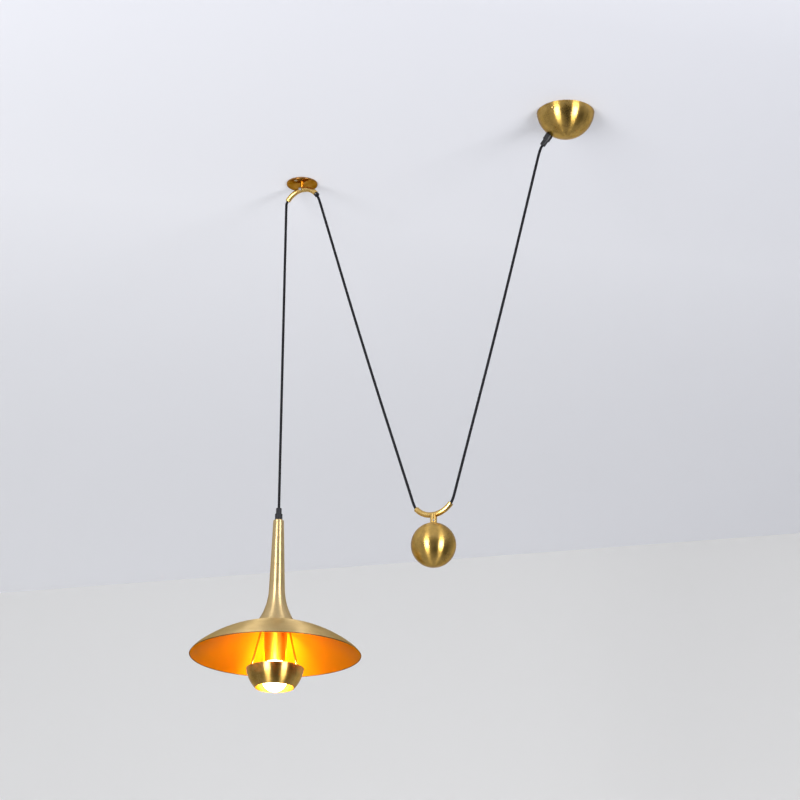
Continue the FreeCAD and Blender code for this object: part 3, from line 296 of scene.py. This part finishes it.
def plastic(name, colour, roughness, ribs_along=None):
    """Moulded plastic with a fine grain, and with ribs across a direction where one is given."""
    nodes = Nodes(name)
    place = nodes.place()
    fine = nodes.noise(place, 2500, detail=2.0)
    broad = nodes.noise(place, 120)
    nodes.link(Base_Color=nodes.mix(nodes.spread(broad), colour, lighter(colour, 1.25, 0.004)),
               Roughness=nodes.spread(fine, roughness - 0.05, roughness + 0.08))
    nodes.set(Specular_IOR_Level=0.35)
    if ribs_along is None:
        nodes.bump(fine, 0.2, 0.00008)
        return nodes.material
    turns = nodes.math("MULTIPLY", nodes.along(place, ribs_along), 2 * math.pi / RIB_PITCH)
    ribs = nodes.span(nodes.math("SINE", turns), -0.2, 0.2)
    nodes.bump(nodes.math("MULTIPLY_ADD", fine, 0.1, ribs), 0.8, 0.0003)
    return nodes.material


BRAID_THREADS = 16
BRAID_PITCH = 0.0042
THREAD_DEEP, THREAD_PALE = grey(0.003), rgb(0.014, 0.014, 0.018)
THREAD_FUZZ = rgb(0.024, 0.024, 0.03)


def braid_material(name):
    """Black braided textile: two families of threads that cross on the cord's own map,
    where U goes once round and V is metres along."""
    nodes = Nodes(name)
    plane = nodes.add("ShaderNodeUVMap", uv_map="UVMap").outputs[0]
    apart = nodes.add("ShaderNodeSeparateXYZ")
    nodes.join(plane, apart.inputs[0])
    family = BRAID_THREADS / 2
    round_it = nodes.math("MULTIPLY", apart.outputs[0], family)
    along = nodes.math("MULTIPLY", apart.outputs[1], family / (8 * BRAID_PITCH))
    ridges = []
    for lean in ("ADD", "SUBTRACT"):
        way = nodes.math("MULTIPLY", nodes.math(lean, round_it, along), 2 * math.pi)
        ridges.append(nodes.math("MULTIPLY_ADD", nodes.math("SINE", way), 0.5, 0.5))
    weave = nodes.math("MAXIMUM", *ridges)
    fuzz = nodes.noise(plane, 900, detail=2.0)
    body = nodes.mix(nodes.span(weave, 0.35, 1.0), THREAD_DEEP, THREAD_PALE)
    nodes.link(Base_Color=nodes.mix(nodes.span(fuzz, 0.55, 0.8, 0.0, 0.35), body, THREAD_FUZZ))
    nodes.set(Roughness=0.8, Specular_IOR_Level=0.1, Sheen_Weight=0.02, Sheen_Roughness=0.4)
    nodes.bump(weave, 0.55, 0.00035)
    return nodes.material


CANOPY_PALE = rgb(0.78, 0.50, 0.13)
CANOPY_DEEP = rgb(0.20, 0.115, 0.016)
LAMP_PALE = rgb(0.76, 0.57, 0.29)
LAMP_DEEP = rgb(0.54, 0.39, 0.17)
# Painted shade: a thin dark line along the dome's rim edge.
RIM_PAINTED_SHADE = rgb(0.22, 0.12, 0.03)
# Painted light: the orange and the yellow stand for the bulb's light on the brass under the dome,
# put into the base colour.
BULB_LIGHT_PAINTED_ORANGE = rgb(1.0, 0.42, 0.004)  # brass that takes the bulb's light again and again
BULB_LIGHT_PAINTED_YELLOW = rgb(1.0, 0.62, 0.08)
BULB_LIGHT = (1.0, 0.72, 0.36)
BLACK = rgb(0.006, 0.006, 0.008)

SHADE_EDGE = 0.1774  # the dome's inner face ends here
RIM_PAINTED_SHADE_LINE = (0.1762, 0.1768)  # the dome's dark rim line comes in from here to here


def paint_in_bulb_light(nodes, inside, colour=BULB_LIGHT_PAINTED_ORANGE):
    """Paint the bulb's light into a hollow's inner face: a warm base colour that stands for brass
    lit from close by, as painted light, and a satin roughness.
    """
    nodes.link(Base_Color=nodes.mix(inside, nodes.linked("Base Color"), colour))
    nodes.link(Roughness=nodes.math("MULTIPLY_ADD", inside, 0.35, nodes.linked("Roughness")))
    return nodes.material


def dome_material():
    """The dome's brass, with the bulb's light painted orange inside, and a thin line of painted
    shade along its rim.
    """
    nodes, around = spun_brass("dome_brass", LAMP_X, LAMP_PALE, LAMP_DEEP, 0.36, coat=0.1)
    under = nodes.span(around.upward, -0.05, -0.2)
    within = nodes.math("LESS_THAN", around.reach, SHADE_EDGE)
    # Painted light on the dome's inner face, where it faces down.
    paint_in_bulb_light(nodes, nodes.math("MULTIPLY", under, within))
    # Painted shade along the rim's edge.
    rim = nodes.span(around.reach, *RIM_PAINTED_SHADE_LINE)
    nodes.link(Base_Color=nodes.mix(rim, nodes.linked("Base Color"), RIM_PAINTED_SHADE))
    return nodes.material


def cup_material():
    """The cup's brass, with the bulb's light painted yellow inside."""
    nodes, around = spun_brass("cup_brass", LAMP_X, CANOPY_PALE, CANOPY_DEEP, 0.33)
    return paint_in_bulb_light(nodes, nodes.span(around.outward, -0.1, -0.3), BULB_LIGHT_PAINTED_YELLOW)


def cover_material():
    """The brass of what lies under the dome, with the bulb's light painted over it all round."""
    nodes = spun_brass("cover_painted_bulb_light", LAMP_X, LAMP_PALE, LAMP_DEEP, 0.33)[0]
    return paint_in_bulb_light(nodes, 0.85)


def lit_glass(name):
    """Opal glass with the lamp on inside it."""
    nodes = Nodes(name)
    cloud = nodes.noise(nodes.place(), 60, detail=2.0)
    nodes.link(Base_Color=nodes.mix(cloud, rgb(1.0, 0.93, 0.80), rgb(1.0, 0.96, 0.88)))
    nodes.set(Roughness=0.25, Emission_Strength=14.0, Emission_Color=rgb(*BULB_LIGHT))
    return nodes.material


GRIP_LEAN = math.radians(40)
GRIP_WAY = (math.sin(GRIP_LEAN), 0.0, math.cos(GRIP_LEAN))
black_braid = braid_material("black_braid")

MATERIALS = {
    spun_piece("canopy_brass", 0.0, CANOPY_PALE, CANOPY_DEEP, 0.29): ("canopy_cup",),
    spun_piece("ball_brass", WEIGHT_X, CANOPY_PALE, CANOPY_DEEP, 0.29): ("weight_ball",),
    spun_piece("stem_brass", LAMP_X, LAMP_PALE, LAMP_DEEP, 0.34): ("lamp_stem",),
    dome_material(): ("shade_dome",),
    cover_material(): ("rod_carrier", "socket_cover"),
    cup_material(): ("reflector_cup",),
    brass_bar("plate_brass", rgb(0.52, 0.27, 0.09), rgb(0.28, 0.13, 0.035), 0.16): ("hook_plate",),
    brass_bar("bright_brass", rgb(0.80, 0.55, 0.20), rgb(0.56, 0.35, 0.10), 0.26): (
        "hook_stem", "hook_tube", "weight_saddle_tube", "weight_neck", "canopy_side_screws",
    ),
    brass_bar("rod_brass", rgb(0.55, 0.32, 0.12), rgb(0.42, 0.22, 0.08), 0.2): ("cup_rods",),
    brass_bar("contact_brass", rgb(0.8, 0.62, 0.3), rgb(0.7, 0.5, 0.22), 0.2): (
        "terminal_screws", "lampholder_screw_shell", "lampholder_contact", "bulb_cap",
    ),
    steel("plated_steel", 0.62, 0.3): (
        "ceiling_bracket", "earth_screw", "canopy_grip_locknut", "hook_stem_screw", "weight_stud",
        "weight_ballast", "stem_coupling", "lamp_tube", "clamp_nut",
    ),
    steel("screw_steel", 0.75, 0.22): (
        "hook_plate_screws", "hook_tube_screw", "weight_set_screw", "cord_stop_screw",
    ),
    plastic("black_plastic", BLACK, 0.34): (
        "canopy_grip_body", "lamp_grip_body", "cord_stop", "lampholder_cap", "lampholder_body",
    ),
    plastic("leaning_nose", BLACK, 0.34, ribs_along=GRIP_WAY): ("canopy_grip_nose",),
    plastic("upright_nose", BLACK, 0.34, ribs_along=(0.0, 0.0, 1.0)): ("lamp_grip_nose",),
    plastic("white_plastic", rgb(0.78, 0.78, 0.74), 0.45): ("terminal_block",),
    lit_glass("lit_glass"): ("bulb_globe",),
    black_braid: (
        "cord_in_canopy", "cord_canopy_to_weight", "cord_in_saddle", "cord_weight_to_hook",
        "cord_in_hook", "cord_hook_to_lamp", "cord_in_lamp",
    ),
}
for material, names in MATERIALS.items():
    for name in names:
        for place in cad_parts[name].material_slots:
            place.material = material

# ---- cords ----


def smooth_line(name, points):
    """Points along the NURBS spline that has the route's points as its control points."""
    data = bpy.data.curves.new(name + "_route", "CURVE")
    data.dimensions = "3D"
    spline = data.splines.new("NURBS")
    spline.points.add(len(points) - 1)
    for spot, (x, z) in zip(spline.points, points):
        spot.co = (x, 0, z, 1)
    spline.order_u = 3
    spline.use_endpoint_u = True
    spline.resolution_u = 24
    route = bpy.data.objects.new(name + "_route", data)
    mesh = bpy.data.meshes.new_from_object(route)
    line = [vertex.co.copy() for vertex in mesh.vertices]
    bpy.data.meshes.remove(mesh)
    bpy.data.objects.remove(route)
    bpy.data.curves.remove(data)
    return line


CORD_SIDES = 24
RING_STEP = 0.004  # the most that two rings of a cord's mesh lie apart
ACROSS = Vector((0, 1, 0))


def ring_places(line):
    """The line's points, with more between those that lie far apart."""
    spots = [line[0]]
    for before, after in zip(line, line[1:]):
        parts = max(1, math.ceil((after - before).length / RING_STEP))
        spots += [before.lerp(after, (part + 1) / parts) for part in range(parts)]
    return spots


def tube_along(name, line):
    """The cord's round tube along a line in the XZ plane, with U round it and V in metres
    along it."""
    spots = ring_places(line)
    verts, faces, maps, travelled = [], [], [], 0.0
    for number, spot in enumerate(spots):
        behind = spots[max(number - 1, 0)]
        ahead = spots[min(number + 1, len(spots) - 1)]
        side = (ahead - behind).normalized().cross(ACROSS).normalized()
        travelled += (spot - behind).length
        for turn in range(CORD_SIDES):
            angle = 2 * math.pi * turn / CORD_SIDES
            out = math.cos(angle) * side + math.sin(angle) * ACROSS
            verts.append(spot + CORD_RADIUS * out)
        maps.append(travelled)
    for ring in range(len(spots) - 1):
        for turn in range(CORD_SIDES):
            following = (turn + 1) % CORD_SIDES
            low, high = ring * CORD_SIDES, (ring + 1) * CORD_SIDES
            faces.append((low + turn, low + following, high + following, high + turn))
    faces.append(tuple(range(CORD_SIDES)))
    faces.append(tuple(range(len(verts) - 1, len(verts) - CORD_SIDES - 1, -1)))
    mesh = bpy.data.meshes.new(name)
    mesh.from_pydata([tuple(vert) for vert in verts], [], faces)
    layer = mesh.uv_layers.new(name="UVMap")
    for number, face in enumerate(mesh.polygons):
        face.use_smooth = len(face.vertices) == 4
        if not face.use_smooth:
            continue
        ring, turn = divmod(number, CORD_SIDES)
        corners = ((turn, ring), (turn + 1, ring), (turn + 1, ring + 1), (turn, ring + 1))
        for loop, (u, v) in zip(face.loop_indices, corners):
            layer.data[loop].uv = (u / CORD_SIDES, maps[v])
    mesh.validate()
    mesh.update()
    piece = add_object(name, mesh)
    piece.data.materials.append(black_braid)
    return piece


GRIP_END = (-0.05599, -0.06095)
GRIP_BEND = (-0.06114, -0.06708)
SADDLE_CANOPY_BEND = (-0.27342, -0.80654)
SADDLE_CANOPY_END = (-0.27806, -0.81178)
SADDLE_HOOK_END = (-0.35894, -0.81178)
SADDLE_HOOK_BEND = (-0.36358, -0.80654)
HOOK_INNER_BEND = (-0.61291, -0.04205)
HOOK_INNER_END = (-0.61879, -0.03396)
LAMP_CORD_TOP = (LAMP_X, -0.04796)
LAMP_CORD_MIDDLE = (LAMP_X, -0.4)
LAMP_CORD_END = (LAMP_X, -0.75207)

EDGE_RUN = 0.034  # from a tube's edge to the next point of a long straight run
HOOK_SAG = -0.004
CANOPY_SAG = 0.004


def run_between(start, end, sag):
    """The points of a long run, whose middle its own weight moves aside in X."""
    first, last = Vector(start), Vector(end)
    way = (last - first).normalized()
    length = (last - first).length
    spots = []
    for distance, aside in ((EDGE_RUN, 0.0), (length / 2, sag), (length - EDGE_RUN, 0.0)):
        spot = first + way * distance
        spots.append((spot.x + aside, spot.y))
    return [start, *spots, end]


HOOK_ROUTE = [
    SADDLE_HOOK_END,
    *run_between(SADDLE_HOOK_BEND, HOOK_INNER_BEND, HOOK_SAG),
    HOOK_INNER_END,
]
CANOPY_ROUTE = [
    GRIP_END,
    *run_between(GRIP_BEND, SADDLE_CANOPY_BEND, CANOPY_SAG),
    SADDLE_CANOPY_END,
]
LAMP_ROUTE = [LAMP_CORD_TOP, LAMP_CORD_MIDDLE, LAMP_CORD_END]


AT_EXIT = 0.01  # a line that starts no further from its exit than this starts there


def in_space(spot):
    return (spot[0], 0.0, spot[1])


def free_cord(name, node, route, exit_spot):
    """One free stretch of the cord, which stands for its CAD node."""
    line = smooth_line(name, route)
    piece = tube_along(name, line)
    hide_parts(node)
    if (line[0] - Vector(in_space(exit_spot))).length > AT_EXIT:
        line.reverse()
    return piece


canopy_cord = free_cord("cord_canopy_side", "cord_canopy_to_weight", CANOPY_ROUTE, GRIP_END)
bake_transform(canopy_cord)
hook_cord = free_cord("cord_hook_side", "cord_weight_to_hook", HOOK_ROUTE, HOOK_INNER_END)
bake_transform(hook_cord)
lamp_cord = free_cord("cord_lamp_side", "cord_hook_to_lamp", LAMP_ROUTE, LAMP_CORD_TOP)
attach(lamp_cord, ROOT)
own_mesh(lamp_cord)

# ---- stage ----

CEILING_Z = 0.0006
WALL_FOOT_Z = -2.7
WALL_MEETING = Vector((-1.9057, 2.5080))  # a point of the line where wall and ceiling meet
WALL_TURN = math.radians(16.0)
WALL_HALF = 9.0
CEILING_DEPTH = 5.0
# Painted light on the backdrop: an emission seen only by the eye and in reflections, rising by its
# slope across each plane, with less of it over the viewer as painted shade.
CEILING_PAINTED_LIGHT, CEILING_SLOPE = 0.162, (-0.05, 0.0, 0.0)
WALL_PAINTED_LIGHT, WALL_SLOPE = -0.095, (-0.068, 0.010, 0.0)
PAINTED_LIGHT_TINT = rgb(0.97, 0.98, 1.0)
NEAR_WAY = (-1.0, 1.0, 0.0)  # from the ceiling over the viewer to the room's far left
NEAR_SPAN = (-0.5, 0.9)  # along it, the ceiling's lift comes up from here to here
NEAR_PAINTED_SHADE = 0.127


def one_sided(name, colour, painted_light, slope_by, near_painted_shade=0.0):
    """Matt paint on the side that faces the object; seen from behind it isn't there. The painted
    light is an emission that the eye and reflections get on top of the paint's own shading, with
    its slope per metre, less a painted shade over the viewer."""
    nodes = Nodes(name)
    place = nodes.place()
    cloud = nodes.noise(place, 0.8, detail=2.0)
    nodes.link(Base_Color=nodes.mix(cloud, colour, lighter(colour, 1.03)))
    nodes.set(Roughness=0.9, Specular_IOR_Level=0.1, Emission_Color=PAINTED_LIGHT_TINT)
    level = nodes.math("ADD", nodes.along(place, slope_by), painted_light)
    painted_shade = nodes.span(nodes.along(place, NEAR_WAY), *NEAR_SPAN, near_painted_shade, 0.0)
    level = nodes.math("MAXIMUM", nodes.math("SUBTRACT", level, painted_shade), 0.0)
    path = nodes.add("ShaderNodeLightPath").outputs
    seen = nodes.math("ADD", path["Is Camera Ray"], path["Is Glossy Ray"])
    seen = nodes.math("ADD", seen, path["Is Transmission Ray"])
    nodes.link(Emission_Strength=nodes.math("MULTIPLY", seen, level))
    behind = nodes.add("ShaderNodeNewGeometry").outputs["Backfacing"]
    clear = nodes.add("ShaderNodeBsdfTransparent")
    both = nodes.add("ShaderNodeMixShader")
    for socket, source in zip(both.inputs, (behind, nodes.shader.outputs[0], clear.outputs[0])):
        nodes.join(source, socket)
    nodes.join(both.outputs[0], nodes.output.inputs[0])
    return nodes.material


def plane(name, corners, material):
    mesh = bpy.data.meshes.new(name)
    mesh.from_pydata(corners, [], [tuple(range(len(corners)))])
    piece = add_object(name, mesh)
    piece.data.materials.append(material)


ceiling_paint = one_sided("ceiling_paint", rgb(0.613, 0.622, 0.675), CEILING_PAINTED_LIGHT, CEILING_SLOPE,
                          near_painted_shade=NEAR_PAINTED_SHADE)
wall_paint = one_sided("wall_paint", rgb(0.66, 0.66, 0.66), WALL_PAINTED_LIGHT, WALL_SLOPE)
wall_way = Vector((math.cos(WALL_TURN), math.sin(WALL_TURN)))
near = CEILING_DEPTH * Vector((wall_way.y, -wall_way.x))
left, right = WALL_MEETING - WALL_HALF * wall_way, WALL_MEETING + WALL_HALF * wall_way
plane("stage_ceiling",
      [(spot.x, spot.y, CEILING_Z) for spot in (left, right, right + near, left + near)],
      ceiling_paint)
plane("stage_wall",
      [(left.x, left.y, WALL_FOOT_Z), (right.x, right.y, WALL_FOOT_Z),
       (right.x, right.y, CEILING_Z), (left.x, left.y, CEILING_Z)],
      wall_paint)

# ---- light ----

SOFTBOX_CENTRE = Vector((-0.35, 0.0, -1.5))  # what the two soft lights look at
SOFTBOX_AWAY = 3.5
SOFTBOX_SIZE = (1.3, 2.2)
SOFTBOX_POWER = 140


def softbox(name, azimuth):
    """A tall soft light a few metres from the object, at an azimuth from +X."""
    data = bpy.data.lights.new(name, "AREA")
    data.shape = "RECTANGLE"
    data.size, data.size_y = SOFTBOX_SIZE
    data.energy = SOFTBOX_POWER
    light = add_object(name, data)
    turn = math.radians(azimuth)
    away = SOFTBOX_AWAY * Vector((math.cos(turn), math.sin(turn), 0.0))
    light.location = SOFTBOX_CENTRE + away
    light.rotation_euler = (-away).to_track_quat("-Z", "Y").to_euler()


softbox("softbox_left", -94.0)
softbox("softbox_right", -19.5)

GLOW_COUNT = 3
GLOW_REACH = 0.042  # from the lamp's axis
GLOW_Z = -1.092


def bulb_glow(number, turn):
    """What the bulb sends up out of the cup, under the dome. It rides with the lamp."""
    data = bpy.data.lights.new(f"bulb_glow_{number}", "POINT")
    data.energy = 0.7
    data.color = BULB_LIGHT
    data.shadow_soft_size = 0.008
    light = add_object(f"bulb_glow_{number}", data)
    light.location = (LAMP_X + GLOW_REACH * math.cos(turn), GLOW_REACH * math.sin(turn), GLOW_Z)
    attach(light, LAMP)


for number in range(GLOW_COUNT):
    bulb_glow(number, math.radians(60 + 120 * number))

DARK_TURN, DARK_TILT = math.radians(-20.0), math.radians(-20.0)
DARK_SIDE = (math.cos(DARK_TURN) * math.cos(DARK_TILT),
             math.sin(DARK_TURN) * math.cos(DARK_TILT),
             math.sin(DARK_TILT))
DARK_SPAN = (0.35, 0.85)  # the world dims from here to here, as the cosine to the dark side
WORLD_LEVEL = 0.5
DARK_LEVEL = 0.07


def make_world():
    """Even pale light from everywhere, but dimmer from the dark side of the room."""
    world = bpy.data.worlds.new("world")
    world.use_nodes = True
    tree = world.node_tree
    background = tree.nodes["Background"]
    direction = tree.nodes.new("ShaderNodeTexCoord").outputs["Generated"]
    share = tree.nodes.new("ShaderNodeVectorMath")
    share.operation = "DOT_PRODUCT"
    share.inputs[1].default_value = DARK_SIDE
    tree.links.new(direction, share.inputs[0])
    ramp = tree.nodes.new("ShaderNodeMapRange")
    ramp.interpolation_type = "SMOOTHSTEP"
    for socket, number in zip(ramp.inputs[1:5], (*DARK_SPAN, WORLD_LEVEL, DARK_LEVEL)):
        socket.default_value = number
    tree.links.new(share.outputs["Value"], ramp.inputs[0])
    background.inputs[0].default_value = grey(1.0)
    tree.links.new(ramp.outputs[0], background.inputs[1])
    bpy.context.scene.world = world


make_world()
bpy.context.scene.view_settings.view_transform = "Standard"
